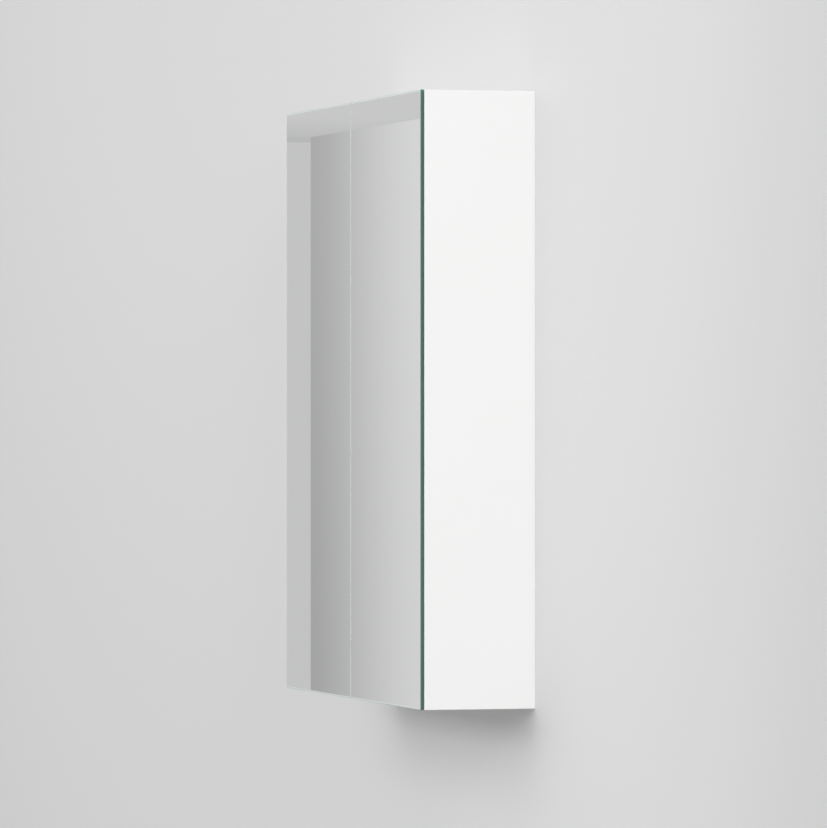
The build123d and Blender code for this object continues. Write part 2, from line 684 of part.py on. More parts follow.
with BuildPart() as hanger_cover:
    with BuildSketch(front_view.offset(-back_front)):
        with Locations((hanger_centre, hanger_middle)):
            SlotOverall(ACCESS_WIDTH + 2 * COVER_LAP, ACCESS_HEIGHT + 2 * COVER_LAP)
    extrude(amount=COVER_THICK)
    fillet(hanger_cover.faces().sort_by(Axis.Y)[0].edges(), COVER_THICK / 2)
    with BuildSketch(front_view.offset(-back_front)):
        with Locations((hanger_centre, hanger_middle)):
            SlotOverall(ACCESS_WIDTH - 2 * COVER_FIT, ACCESS_HEIGHT - 2 * COVER_FIT)
    extrude(amount=-COVER_PLUG)
save_both_sides(hanger_cover, "hanger_cover")

# Wall plates: the cabinet hangs on their lips
plate_top = hook_level - LIP
plate_foot = plate_top - WALL_PLATE_HEIGHT
wall_hole_points = [
    (hanger_centre, plate_foot + WALL_HOLE_UP),
    (hanger_centre, plate_foot + WALL_HOLE_UP + WALL_HOLE_SPACING),
]
with BuildPart() as wall_plate:
    with BuildSketch(section.offset(hanger_centre - WALL_PLATE_WIDTH / 2)):
        Polygon(
            (wall, plate_foot),
            (wall, plate_top),
            (lip_rear, plate_top),
            (lip_rear, hook_level),
            (lip_front, hook_level),
            (lip_front, plate_top - WALL_PLATE_SHEET),
            (wall - WALL_PLATE_SHEET, plate_top - WALL_PLATE_SHEET),
            (wall - WALL_PLATE_SHEET, plate_foot),
        )
    extrude(amount=WALL_PLATE_WIDTH)
    with BuildSketch(front_view.offset(-wall)):
        with Locations(wall_hole_points):
            Circle(WALL_HOLE / 2)
    extrude(amount=WALL_PLATE_SHEET, mode=Mode.SUBTRACT)
save_both_sides(wall_plate, "wall_plate")
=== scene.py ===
# The looks of a wall-hung mirror cabinet with two doors: finishes, fine fittings, a plain studio
# and a camera. Lengths are in metres. X runs to the right seen from the front, Y towards the wall
# and Z up.

import math

import bmesh
import bpy
from mathutils import Matrix, Vector


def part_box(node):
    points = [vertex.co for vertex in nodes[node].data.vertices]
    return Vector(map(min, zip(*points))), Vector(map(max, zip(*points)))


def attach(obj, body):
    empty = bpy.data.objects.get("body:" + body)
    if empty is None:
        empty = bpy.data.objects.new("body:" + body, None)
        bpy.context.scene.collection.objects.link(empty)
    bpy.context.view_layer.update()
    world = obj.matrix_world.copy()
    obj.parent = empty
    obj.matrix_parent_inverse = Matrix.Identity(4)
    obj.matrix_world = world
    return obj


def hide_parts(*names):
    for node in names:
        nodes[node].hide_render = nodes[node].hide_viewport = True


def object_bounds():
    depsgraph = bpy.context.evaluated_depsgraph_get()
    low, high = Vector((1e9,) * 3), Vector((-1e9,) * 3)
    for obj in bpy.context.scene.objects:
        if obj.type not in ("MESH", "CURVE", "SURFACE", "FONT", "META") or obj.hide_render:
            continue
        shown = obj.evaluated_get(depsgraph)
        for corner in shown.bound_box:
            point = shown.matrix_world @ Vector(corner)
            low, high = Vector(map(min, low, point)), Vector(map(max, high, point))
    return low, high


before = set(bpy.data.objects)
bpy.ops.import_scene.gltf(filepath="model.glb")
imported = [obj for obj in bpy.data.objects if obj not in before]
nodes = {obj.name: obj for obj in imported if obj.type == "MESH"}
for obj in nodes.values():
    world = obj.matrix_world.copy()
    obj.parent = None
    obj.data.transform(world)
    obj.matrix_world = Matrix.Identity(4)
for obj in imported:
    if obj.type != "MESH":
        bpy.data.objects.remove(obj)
cad_low, cad_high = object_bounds()
MM = 0.001
RAYS = ("camera", "diffuse", "glossy", "transmission", "shadow")
SIDES = ("left", "right")
SHELVES = ("shelf_1", "shelf_2", "shelf_3")
HINGES = [f"{height}_{side}" for height in ("lower", "upper") for side in SIDES]

# Camera, fitted to the corners of the cabinet in an image of 827 by 828 pixels
IMAGE_LONG_SIDE = 828
FOCAL_LENGTH = 6169  # in pixels
CAMERA_AZIMUTH = 74.25
CAMERA_PLACE = (6.992, -1.963, 0.334)
SENSOR = 36

# Studio
WALL_FACE = cad_high.y
WALL_LEFT = -5.0
WALL_RIGHT = 4.0
WALL_TOP = 3.0
FLOOR_LEVEL = -1.15
FLOOR_REACH = 14.0
BEHIND_CABINET = 12 * MM  # the wall is left out behind the cabinet, this far inside its outline
WALL_PAINTED_SHADE_SPANS = ((-2.8, -0.6), (0.55, 1.9))  # painted shade: the wall's colour changes slowly between these places, darker towards the right where less light falls
FRONT_LAMP_AIM = (0.3, 0, 0.3)
LAMPS = {
    "lamp_front_low": {"place": (0.3, -3.2, 0.9), "aim": FRONT_LAMP_AIM, "size": (9.5, 0.8), "power": 46},
    "lamp_front_high": {"place": (0.3, -3.0, 2.0), "aim": FRONT_LAMP_AIM, "size": (9.0, 1.2), "power": 33},
    "lamp_right": {"place": (5.0, -0.7, 1.4), "aim": (0.3, 0, 0.4), "size": (1.0, 1.6), "power": 104},
}
LIGHT_FROM_ABOVE = (0.56, 0.56, 0.56, 1)
LIGHT_FROM_BELOW = (0.39, 0.39, 0.39, 1)
SKY_GREY = 226  # seen by the camera, metal and glass

# Room seen in the mirrors only: glowing sheets painted with light and corner shade, a painted reflection
ROOM_DEPTH = 4.81
ROOM_LEFT = -18.14
ROOM_RIGHT = 14.0
ROOM_TOP = 1.5
LEFT_WALL_TOP = 1.478
CORNER_FADE = 1.9  # painted corner shade: the wall opposite is darker near its left corner and brightens over this length
CORNER_START = 0.15  # share of that length that lies beyond the corner
CEILING_REACH = 1.2  # the ceiling goes on past the left wall by this factor
BRIGHTER_ALONG = 0.88  # shares of the painted light's change of grey along a wall and up it
BRIGHTER_UP = 0.12

# Finishes
LACQUER = 0.4 * MM  # what lies deeper than this inside a board is cut and bare
LIGHT_LINE = 1.8 * MM  # painted reflection: pale line round a mirror's face, where the arris shows through the glass
GREEN_END = (4 * MM, 2 * MM)  # painted light: the edge is painted a brighter, fuller green between these depths below its top

# Fittings built as meshes, in millimetres
SEGMENTS = 8  # along a bend or a tapering neck
SHARP_ABOVE = 35  # degrees between faces
ROUND = 0.999  # share of a disc's radius in its corners, so that no side has zero length
SHEET = 2.0
LIP = 6.0
BEND = 1.6
LEG_INSET = 0.03  # the leg's faces lie this far inside those of the bent part that covers its top
LEG_NARROWER = 0.05
PLATE_CORNER = 4.4
WALL_HOLE = 2.75
WALL_HOLE_UP = 14.0
WALL_HOLE_SPACING = 32.0
HANGER_CORNER = 2.5
HANGER_RIM = 1.8
RIM_CORNER = 1.4
RIM_DEPTH = 1.7
HANGER_FLOOR = 1.4  # floor and rim of the housing, below its rear face
RIB = 1.2
RIB_DEPTH = 1.9
RIB_BELOW_RIM = 0.2
RIB_CORNER = 0.5
UPRIGHT_RIB = 33.0
LEVEL_RIB = 41.0
RIBS_OUT = (-15.0, -7.5, 7.5, 15.0)  # upright ribs from the middle of the hanger
RIBS_IN = (7.0, -4.0)  # level ribs above its lower edge and below its upper edge
ADJUSTER = 3.0
ADJUSTER_OUT = 8.0
PEG = 5.0
PEG_OUT = 10.0
PEG_OVERLAP = 0.2
PIN = 2.45
PIN_OVERLAP = 0.1
PIN_BELOW_GLASS = 3.5
COLLAR = 3.9
COLLAR_THICK = 0.9
TONGUE = 9.0
TONGUE_CORNER = 3.2
TONGUE_LEVELS = (0.5, 2.5)
NECK_START = 0.8
NECK_LENGTH = 7.0
NECK_RISE = 0.9
NECK_TAPER = 1.35
NECK_CURVE = 1.5
BOSS_CORNER = 3.0
BEAD_SECTION = ((-0.3, 0), (-0.3, 1.0), (0.25, 0.9), (0.75, 0.6), (1.05, 0.25), (1.1, 0))
SOFT = {  # width of the softened edges
    "wall plate": 0.25, "housing": 0.4, "rim": 0.3, "rib": 0.2,
    "peg": 0.6, "pin": 0.5, "collar": 0.25, "tongue": 0.4,
}


class Wire:
    """One output of a shader node. Arithmetic on it adds Math nodes to the same material."""

    def __init__(self, finish, socket):
        self.finish = finish
        self.socket = socket

    def maths(self, operation, *terms):
        sockets = dict(enumerate(terms))
        return self.finish.node("ShaderNodeMath", {"operation": operation}, sockets)

    def __add__(self, other):
        return self.maths("ADD", self, other)

    __radd__ = __add__

    def __sub__(self, other):
        return self.maths("SUBTRACT", self, other)

    def __rsub__(self, other):
        return self.maths("SUBTRACT", other, self)

    def __mul__(self, other):
        return self.maths("MULTIPLY", self, other)

    __rmul__ = __mul__

    def __gt__(self, other):
        return self.maths("GREATER_THAN", self, other)

    def __lt__(self, other):
        return self.maths("LESS_THAN", self, other)

    def __abs__(self):
        return self.maths("ABSOLUTE", self)

    def ramp(self, low, high):
        """0 below low, 1 above high and a smooth step between them."""
        settings = {"interpolation_type": "SMOOTHSTEP"}
        sockets = {"Value": self, "From Min": low, "From Max": high}
        return self.finish.node("ShaderNodeMapRange", settings, sockets)


class Finish:
    """The nodes of a new material, or of the world if one is given."""

    def __init__(self, name, world=None):
        self.owner = world or bpy.data.materials.new(name)
        self.owner.use_nodes = True
        self.tree = self.owner.node_tree
        self.tree.nodes.clear()
        self.place = self.node("ShaderNodeTexCoord", output="Object")
        self.facing = self.node("ShaderNodeTexCoord", output="Normal")

    def node(self, kind, settings=None, sockets=None, output=0):
        """Add a node: its settings first, then the values or links of its sockets."""
        made = self.tree.nodes.new(kind)
        for name, value in (settings or {}).items():
            setattr(made, name, value)
        for name, value in (sockets or {}).items():
            if isinstance(value, Wire):
                self.tree.links.new(value.socket, made.inputs[name])
            else:
                made.inputs[name].default_value = value
        return Wire(self, made.outputs[output]) if made.outputs else None

    def axes(self, vector):
        """The three components of a vector."""
        made = self.node("ShaderNodeSeparateXYZ", sockets={0: vector})
        return [Wire(self, output) for output in made.socket.node.outputs]

    def stretched(self, x=1.0, y=1.0, z=1.0):
        """Place on the object, multiplied along each axis."""
        sockets = {0: self.place, 1: (x, y, z)}
        return self.node("ShaderNodeVectorMath", {"operation": "MULTIPLY"}, sockets)

    def noise(self, size, detail=2.0, place=None):
        """Soft noise from 0 to 1 with features of about this size."""
        sockets = {"Vector": place or self.place, "Scale": 1 / size, "Detail": detail}
        return self.node("ShaderNodeTexNoise", sockets=sockets)

    def mix(self, factor, first, second):
        """A colour between two colours."""
        sockets = {0: factor, 6: first, 7: second}
        return self.node("ShaderNodeMix", {"data_type": "RGBA"}, sockets, output=2)

    def worn_edges(self, radius):
        """Normals as if every edge were rounded by this radius."""
        return self.node("ShaderNodeBevel", {"samples": 6}, {"Radius": radius})

    def bumps(self, height, depth, normal):
        """Normals of a relief this deep."""
        sockets = {"Height": height, "Distance": depth, "Normal": normal}
        return self.node("ShaderNodeBump", sockets=sockets)

    def principled(self, sockets):
        return self.node("ShaderNodeBsdfPrincipled", sockets=sockets)

    def either(self, factor, first, second):
        """One shader where the factor is 0, the other where it is 1."""
        return self.node("ShaderNodeMixShader", sockets={0: factor, 1: first, 2: second})

    def end(self, shader, kind="ShaderNodeOutputMaterial"):
        self.node(kind, sockets={"Surface": shader})
        return self.owner


def colour(red, green, blue):
    """A colour as a screen shows it, 0 to 255, in linear values."""
    def linear(value):
        share = value / 255
        return share / 12.92 if share <= 0.04045 else ((share + 0.055) / 1.055) ** 2.4

    return (linear(red), linear(green), linear(blue), 1.0)


def grey(value):
    return colour(value, value, value)


# Finishes of the cabinet

def cut_into_board(finish, box):
    """1 inside the holes and grooves of a board, where the lacquer ends and the fibres show."""
    low, high = box
    mask = 1.0
    for axis, wire in enumerate(finish.axes(finish.place)):
        mask = (wire > low[axis] + LACQUER) * (wire < high[axis] - LACQUER) * mask
    return mask


def lacquered_board(name, box, raw_rear=False):
    """White lacquer on fibreboard, with a faint orange peel and soft edges."""
    finish = Finish(name)
    cloud = finish.noise(0.16, detail=3)
    peel = finish.noise(2.4 * MM, detail=1)
    fibres = finish.noise(0.9 * MM, detail=4)
    white = finish.mix(cloud, colour(245, 245, 244), colour(248, 248, 248))
    raw = finish.mix(fibres, colour(150, 122, 88), colour(196, 170, 132))
    bare = cut_into_board(finish, box)
    if raw_rear:
        bare = bare.maths("MAXIMUM", bare, finish.axes(finish.facing)[1] > 0.9)
    relief = peel * (1 - bare) + fibres * bare * 6
    shader = finish.principled({
        "Base Color": finish.mix(bare, white, raw),
        "Roughness": (0.3 + 0.08 * cloud) * (1 - bare) + 0.85 * bare,
        "Coat Weight": 0.25 * (1 - bare),
        "Coat Roughness": 0.18,
        "Normal": finish.bumps(relief, 0.012 * MM, finish.worn_edges(0.35 * MM)),
    })
    return finish.end(shader)


def mirror_plate(name, box, silver_side):
    """Silvered float glass: a mirror on one side, grey paint on the other, green edges finished by grinding.

    The box is the right-hand plate's. A light line runs round the silver, a painted reflection of the arris
    as it would show through the glass. The arris itself is painted pale on its inner side and darker on its
    outer side, a painted highlight and shade.
    """
    finish = Finish(name)
    low, high = box
    facing_x, facing_y, _ = finish.axes(finish.facing)
    across = facing_y * silver_side
    x, _, height = finish.axes(finish.place)
    side = abs(x)
    between_sides = (side > low.x + LIGHT_LINE) * (side < high.x - LIGHT_LINE)
    between_ends = (height > low.z + LIGHT_LINE) * (height < high.z - LIGHT_LINE)
    inside = between_sides * between_ends
    face = across > 0.95
    front = face * inside
    rim = face * (1 - inside)
    rear = across < -0.95
    arris = (across > 0.4) * (1 - face)
    wipe = finish.noise(0.05, detail=4, place=finish.stretched(1, 1, 0.35))
    depth_of_green = finish.noise(0.02, detail=3, place=finish.stretched(1, 1, 0.2))
    silver = finish.mix(wipe, (0.885, 0.90, 0.89, 1), (0.90, 0.91, 0.905, 1))
    green = finish.mix(depth_of_green, colour(62, 91, 81), colour(76, 107, 96))
    # Painted light: the edge is brighter and a fuller green near its top.
    near_top = height.ramp(high.z - GREEN_END[0], high.z - GREEN_END[1])
    lit_green = finish.mix(near_top, green, colour(50, 130, 104))
    # Painted highlight and shade: the arris is painted pale on its inner side, where it catches light at the
    # door gap, and darker green on its outer side, which the side lamp lights strongly.
    outer_side = (side > high.x / 2) * (abs(facing_x) > 0.4)
    ground_arris_painted_light = finish.mix(outer_side, colour(196, 206, 203), colour(112, 138, 130))
    # Painted reflection of the arris in the silvering: a pale line round the mirror's face.
    light_line = finish.mix(depth_of_green, colour(222, 233, 229), colour(229, 239, 235))
    grain = finish.noise(0.8 * MM, detail=3)
    paint = finish.mix(grain, colour(136, 140, 141), colour(150, 153, 154))
    edge = finish.mix(rim, finish.mix(arris, lit_green, ground_arris_painted_light), light_line)
    relief = finish.noise(0.5 * MM, detail=3) * (1 - face)
    shader = finish.principled({
        "Base Color": finish.mix(front, finish.mix(rear, edge, paint), silver),
        "Metallic": front,
        "Roughness": 0.004 * front + (1 - front) * (0.18 + 0.2 * arris + 0.3 * rear),
        "Normal": finish.bumps(relief, 0.01 * MM, finish.worn_edges(0.12 * MM)),
    })
    return finish.end(shader)


def clear_glass(name):
    """Clear float glass with polished edges that look green. Light passes it without a dark shadow."""
    finish = Finish(name)
    upright = abs(finish.axes(finish.facing)[2])
    edge = upright < 0.5
    tint = finish.mix(finish.noise(0.1), (0.93, 0.975, 0.955, 1), (0.95, 0.985, 0.97, 1))
    clear = finish.principled({
        "Base Color": tint,
        "Roughness": 0.01 * finish.noise(0.03, detail=3),
        "Transmission Weight": 1.0,
        "IOR": 1.52,
    })
    deep = finish.noise(0.012, detail=3, place=finish.stretched(1, 1, 4))
    polished = finish.principled({
        "Base Color": finish.mix(deep, colour(98, 152, 134), colour(136, 186, 168)),
        "Roughness": 0.12 + 0.08 * deep,
        "Coat Weight": 0.5,
        "Normal": finish.worn_edges(0.3 * MM),
    })
    from_inside = finish.node("ShaderNodeNewGeometry", output="Backfacing")
    solid = finish.either(edge * 0.85 * (1 - from_inside), clear, polished)
    light_passes = finish.node("ShaderNodeLightPath", output="Is Shadow Ray")
    passing = finish.node("ShaderNodeBsdfTransparent", sockets={"Color": (0.86, 0.93, 0.9, 1)})
    return finish.end(finish.either(light_passes, solid, passing))


def clear_rubber(name):
    """Soft clear pads, slightly milky."""
    finish = Finish(name)
    milk = finish.noise(1.5 * MM, detail=2)
    shader = finish.principled({
        "Base Color": finish.mix(milk, colour(214, 218, 217), colour(232, 235, 234)),
        "Roughness": 0.28 + 0.15 * milk,
        "Transmission Weight": 0.6,
        "IOR": 1.45,
        "Normal": finish.worn_edges(0.25 * MM),
    })
    return finish.end(shader)


def beech(name):
    """Fluted beech dowels with short dark flecks along the grain."""
    finish = Finish(name)
    grain = finish.noise(1.2 * MM, detail=4, place=finish.stretched(0.08, 1, 1))
    flecks = finish.noise(0.5 * MM, detail=1, place=finish.stretched(0.15, 1, 1)) > 0.66
    wood = finish.mix(grain, colour(186, 142, 98), colour(219, 182, 138))
    shader = finish.principled({
        "Base Color": finish.mix(flecks * 0.5, wood, colour(140, 96, 60)),
        "Roughness": 0.6 + 0.1 * grain,
        "Normal": finish.bumps(grain, 0.1 * MM, finish.worn_edges(0.4 * MM)),
    })
    return finish.end(shader)


def white_plastic(name):
    """Moulded plastic with a fine spark-eroded grain."""
    finish = Finish(name)
    grain = finish.noise(0.35 * MM, detail=2)
    shader = finish.principled({
        "Base Color": finish.mix(finish.noise(0.01), colour(236, 236, 233), colour(242, 242, 240)),
        "Roughness": 0.42 + 0.12 * grain,
        "Normal": finish.bumps(grain, 0.03 * MM, finish.worn_edges(0.3 * MM)),
    })
    return finish.end(shader)


def zinc_casting(name):
    """Nickel-plated zinc casting: fine grain, softer edges and slightly duller, darker clouds."""
    finish = Finish(name)
    grain = finish.noise(0.6 * MM, detail=3)
    cloud = finish.noise(9 * MM, detail=3)
    tone = finish.mix(cloud, (0.50, 0.49, 0.475, 1), (0.62, 0.61, 0.595, 1))
    shader = finish.principled({
        "Base Color": tone,
        "Metallic": 1.0,
        "Roughness": 0.3 + 0.1 * cloud + 0.08 * grain,
        "Normal": finish.bumps(grain, 0.04 * MM, finish.worn_edges(0.5 * MM)),
    })
    return finish.end(shader)


def nickel_steel(name, along=(1, 1, 0.08)):
    """Nickel-plated pressed steel with fine drawing lines along one axis."""
    finish = Finish(name)
    lines = finish.noise(0.5 * MM, detail=4, place=finish.stretched(*along))
    cloud = finish.noise(7 * MM, detail=3)
    tone = finish.mix(cloud, (0.60, 0.575, 0.54, 1), (0.72, 0.70, 0.665, 1))
    shader = finish.principled({
        "Base Color": tone,
        "Metallic": 1.0,
        "Roughness": 0.18 + 0.12 * cloud + 0.1 * lines,
        "Normal": finish.bumps(lines, 0.012 * MM, finish.worn_edges(0.3 * MM)),
    })
    return finish.end(shader)


# Studio, not part of the cabinet

def stage_sheet(name, corners, material, seen_by):
    """A flat four-cornered sheet of the studio, seen by these kinds of rays only."""
    mesh = bpy.data.meshes.new(name)
    mesh.from_pydata([tuple(corner) for corner in corners], [], [(0, 1, 2, 3)])
    sheet = bpy.data.objects.new(name, mesh)
    bpy.context.scene.collection.objects.link(sheet)
    mesh.materials.append(material)
    for ray in RAYS:
        setattr(sheet, f"visible_{ray}", ray in seen_by)


def unseen_from_behind(finish, paint, left_out=0):
    """Paint that is clear from behind, and where left_out is 1."""
    clear = finish.node("ShaderNodeBsdfTransparent")
    behind = finish.node("ShaderNodeNewGeometry", output="Backfacing")
    return finish.end(finish.either(behind.maths("MAXIMUM", behind, left_out), paint, clear))


def wall_paint():
    """Pale wall paint, left out behind the cabinet so that the fittings there get light. It is painted darker
    towards the right, a painted shade.
    """
    finish = Finish("wall_paint")
    x, _, z = finish.axes(finish.place)
    roller = finish.noise(3 * MM, detail=2)
    # Painted shade: the grey darkens towards the right, standing in for light that falls off across the wall.
    left = finish.mix(x.ramp(*WALL_PAINTED_SHADE_SPANS[0]), grey(233), grey(232))
    tone = finish.mix(x.ramp(*WALL_PAINTED_SHADE_SPANS[1]), left, grey(204))
    paint = finish.principled({
        "Base Color": tone,
        "Roughness": 0.9,
        "Specular IOR Level": 0.2,
        "Normal": finish.bumps(roller, 0.01 * MM, finish.facing),
    })
    middle = (cad_low + cad_high) / 2
    half = (cad_high - cad_low) / 2
    between_sides = abs(x - middle.x) < half.x - BEHIND_CABINET
    between_ends = abs(z - middle.z) < half.z - BEHIND_CABINET
    return unseen_from_behind(finish, paint, between_sides * between_ends)


def floor_paint():
    """A plain pale floor, not seen from below."""
    finish = Finish("floor_paint")
    tone = finish.mix(finish.noise(0.8, detail=2), grey(222), grey(225))
    paint = finish.principled({"Base Color": tone, "Roughness": 0.8, "Specular IOR Level": 0.2})
    return unseen_from_behind(finish, paint)


def painted_reflection_wall(name, low, high):
    """A glowing wall that only mirrors show, a painted reflection: its painted light brightens to the right
    and slightly upwards.
    """
    finish = Finish(name)
    x, _, z = finish.axes(finish.place)
    along = x.ramp(ROOM_LEFT - CORNER_START * CORNER_FADE, ROOM_LEFT + CORNER_FADE)
    bright = along * BRIGHTER_ALONG + z.ramp(FLOOR_LEVEL, ROOM_TOP) * BRIGHTER_UP
    shader = finish.principled({
        "Base Color": (0, 0, 0, 1),
        "Specular IOR Level": 0.0,
        "Emission Color": finish.mix(bright, low, high),
        "Emission Strength": 1.0,
    })
    return finish.end(shader)


def upright_sheet(left, right, bottom, top):
    """Corners of a sheet from one point in plan to another, each given as (x, y)."""
    return [(*left, bottom), (*right, bottom), (*right, top), (*left, top)]


def flat_sheet(first, second, height):
    """Corners of a level sheet between two opposite corners, each given as (x, y)."""
    return [(*first, height), (second[0], first[1], height), (*second, height), (first[0], second[1], height)]


def studio():
    """Wall and floor for the camera, and the room across that only reflections show: glowing sheets with
    painted light and painted shade.
    """
    direct = ("camera", "glossy", "transmission")
    wall = upright_sheet((WALL_LEFT, WALL_FACE), (WALL_RIGHT, WALL_FACE), FLOOR_LEVEL, WALL_TOP)
    stage_sheet("studio_wall", wall, wall_paint(), direct)
    floor = flat_sheet((-FLOOR_REACH, -FLOOR_REACH), (FLOOR_REACH, FLOOR_REACH), FLOOR_LEVEL)
    stage_sheet("studio_floor", floor, floor_paint(), direct)
    corner = (ROOM_LEFT, -ROOM_DEPTH)
    opposite = upright_sheet(corner, (ROOM_RIGHT, -ROOM_DEPTH), FLOOR_LEVEL, ROOM_TOP)
    left_wall = upright_sheet(corner, (ROOM_LEFT, WALL_FACE), FLOOR_LEVEL, LEFT_WALL_TOP)
    left_shade = upright_sheet(corner, (ROOM_LEFT, WALL_FACE), LEFT_WALL_TOP, ROOM_TOP)
    ceiling = flat_sheet((CEILING_REACH * ROOM_LEFT, -ROOM_DEPTH), (ROOM_RIGHT, WALL_FACE), ROOM_TOP)
    # Painted light and shade of the room: each sheet glows from its darker to its brighter grey, and the left
    # shade is a painted shade band under the ceiling.
    for name, corners, low, high in (
        ("mirrored_front_wall", opposite, grey(165), grey(222)),
        ("mirrored_left_wall", left_wall, grey(201), grey(205)),
        ("mirrored_left_shade", left_shade, grey(190), grey(193)),
        ("mirrored_ceiling", ceiling, grey(192), grey(206)),
    ):
        stage_sheet(name, corners, painted_reflection_wall(name + "_paint", low, high), ("glossy",))


def area_lamp(name, place, aim, size, power):
    """A soft oblong lamp that no camera or mirror sees."""
    data = bpy.data.lights.new(name, "AREA")
    data.shape = "RECTANGLE"
    data.size, data.size_y = size
    data.energy = power
    lamp = bpy.data.objects.new(name, data)
    bpy.context.scene.collection.objects.link(lamp)
    lamp.location = place
    lamp.rotation_euler = (Vector(aim) - Vector(place)).to_track_quat("-Z", "Y").to_euler()
    lamp.visible_camera = False
    lamp.visible_glossy = False


def sky(from_above, from_below, seen):
    """Soft light all round, and the pale background that camera, metal and glass see."""
    world = bpy.data.worlds.new("sky")
    bpy.context.scene.world = world
    finish = Finish("sky", world)
    direct = 0.0
    for ray in ("Is Camera Ray", "Is Glossy Ray", "Is Transmission Ray"):
        hit = finish.node("ShaderNodeLightPath", output=ray)
        direct = hit.maths("MAXIMUM", hit, direct)
    way = finish.node("ShaderNodeTexCoord", output="Generated")
    light = finish.mix(finish.axes(way)[2].ramp(-0.4, 0.4), from_below, from_above)
    tone = finish.mix(direct, light, seen)
    background = finish.node("ShaderNodeBackground", sockets={"Color": tone, "Strength": 1.0})
    finish.end(background, "ShaderNodeOutputWorld")


def camera():
    data = bpy.data.cameras.new("camera")
    data.sensor_width = SENSOR
    data.lens = SENSOR * FOCAL_LENGTH / IMAGE_LONG_SIDE
    data.clip_end = 60
    eye = bpy.data.objects.new("camera", data)
    bpy.context.scene.collection.objects.link(eye)
    eye.location = CAMERA_PLACE
    eye.rotation_euler = (math.radians(90), 0, math.radians(CAMERA_AZIMUTH))
    bpy.context.scene.camera = eye


# Dressing of the CAD nodes
def dress(material, *names):
    for name in names:
        node = nodes[name]
        if not node.material_slots:
            node.data.materials.append(material)
        for slot in node.material_slots:
            slot.material = material


def both(name):
    return [f"{name}_{side}" for side in SIDES]


def on_hinges(*parts):
    return [f"hinge_{part}_{hinge}" for part in parts for hinge in HINGES]


# Fine fittings, built as meshes beside or in place of the plain CAD shapes. They are placed on the
# left side, in millimetres, and mirrored for the right side.
def box_in_mm(name):
    """Lowest and highest corner of a CAD node."""
    return [Vector([round(value / MM, 3) for value in corner]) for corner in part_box(name)]


def outline(width, height, radius, corner_steps=7):
    """Points round a rectangle with rounded corners, centred on zero."""
    points = []
    for quarter, (right, up) in enumerate(((1, 1), (-1, 1), (-1, -1), (1, -1))):
        for step in range(corner_steps + 1):
            angle = math.radians(90 * (quarter + step / corner_steps))
            across = right * (width / 2 - radius) + radius * math.cos(angle)
            along = up * (height / 2 - radius) + radius * math.sin(angle)
            points.append((across, along))
    return points


def circle(radius):
    return outline(2 * radius, 2 * radius, radius * ROUND)


def disc(across, along, radius):
    """A round shape for plate()."""
    return across, along, 2 * radius, 2 * radius, radius * ROUND


def row_of_points(solid, points):
    return [solid.verts.new(Vector(point) * MM) for point in points]


def bridge(solid, first, second):
    """Faces between two rings of as many points."""
    for i in range(len(first)):
        solid.faces.new((first[i - 1], first[i], second[i], second[i - 1]))


def skin(solid, rings, closed=False):
    """Faces between rings of points. Open ends are capped, closed rings run round like a tyre."""
    rows = [row_of_points(solid, ring) for ring in rings]
    following = rows[1:] + rows[:1] if closed else rows[1:]
    for first, second in zip(rows, following):
        bridge(solid, first, second)
    if not closed:
        solid.faces.new(rows[0])
        solid.faces.new(rows[-1])


def plate(solid, shapes, near, far, soft, place):
    """A flat part with softened edges between two depths.

    The first shape is its outline, the others are holes. Each gives its centre, width, height and
    corner radius, and place() turns two numbers in the plane and a depth into a point.
    """
    rims = {near: [], far: []}
    for number, (across, along, width, height, radius) in enumerate(shapes):
        way = 1 if number else -1
        rows = []
        for depth, inset in ((near, soft), (near + soft, 0), (far - soft, 0), (far, soft)):
            grow = way * inset
            points = outline(width + 2 * grow, height + 2 * grow, radius + grow)
            rows.append(row_of_points(solid, [place(across + a, along + b, depth) for a, b in points]))
        for first, second in zip(rows, rows[1:]):
            bridge(solid, first, second)
        for depth, row in ((near, rows[0]), (far, rows[-1])):
            rims[depth] += [solid.edges.get((row[i - 1], row[i])) for i in range(len(row))]
    for rim in rims.values():
        bmesh.ops.triangle_fill(solid, use_beauty=True, use_dissolve=True, edges=rim)


def facing_wall(x, z, y):
    return x, y, z


def level(x, y, z):
    return x, y, z


def facing_side(y, z, x):
    return x, y, z


def mirror(solid):
    bmesh.ops.transform(solid, matrix=Matrix.Diagonal((-1, 1, 1, 1)), verts=solid.verts)


def piece(name, solid, material, body, stands_for=()):
    """Finish a mesh as a piece of the cabinet, mirrored if its name ends with right."""
    if name.endswith("right"):
        mirror(solid)
    bmesh.ops.remove_doubles(solid, verts=solid.verts, dist=0.001 * MM)
    bmesh.ops.recalc_face_normals(solid, faces=solid.faces)
    mesh = bpy.data.meshes.new(name)
    solid.to_mesh(mesh)
    solid.free()
    mesh.materials.append(material)
    mesh.shade_smooth()
    mesh.set_sharp_from_angle(angle=math.radians(SHARP_ABOVE))
    made = bpy.data.objects.new(name, mesh)
    bpy.context.scene.collection.objects.link(made)
    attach(made, body)
    if stands_for:
        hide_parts(*stands_for)


def bent_path(start, step_level, rear, front, top):
    """Middle line of the bent sheet as (y, z) points, each with the way its thickness runs."""
    path = [((rear, start), (1, 0))]
    turns = [step / SEGMENTS for step in range(SEGMENTS + 1)]
    for turn in turns:
        across, up = math.cos(math.radians(90 * turn)), math.sin(math.radians(90 * turn))
        path.append(((rear - BEND + BEND * across, step_level - BEND + BEND * up), (across, up)))
    for turn in turns:
        across, up = math.sin(math.radians(90 * turn)), math.cos(math.radians(90 * turn))
        path.append(((front + BEND - BEND * across, step_level + BEND - BEND * up), (across, up)))
    path.append(((front, top), (1, 0)))
    return path


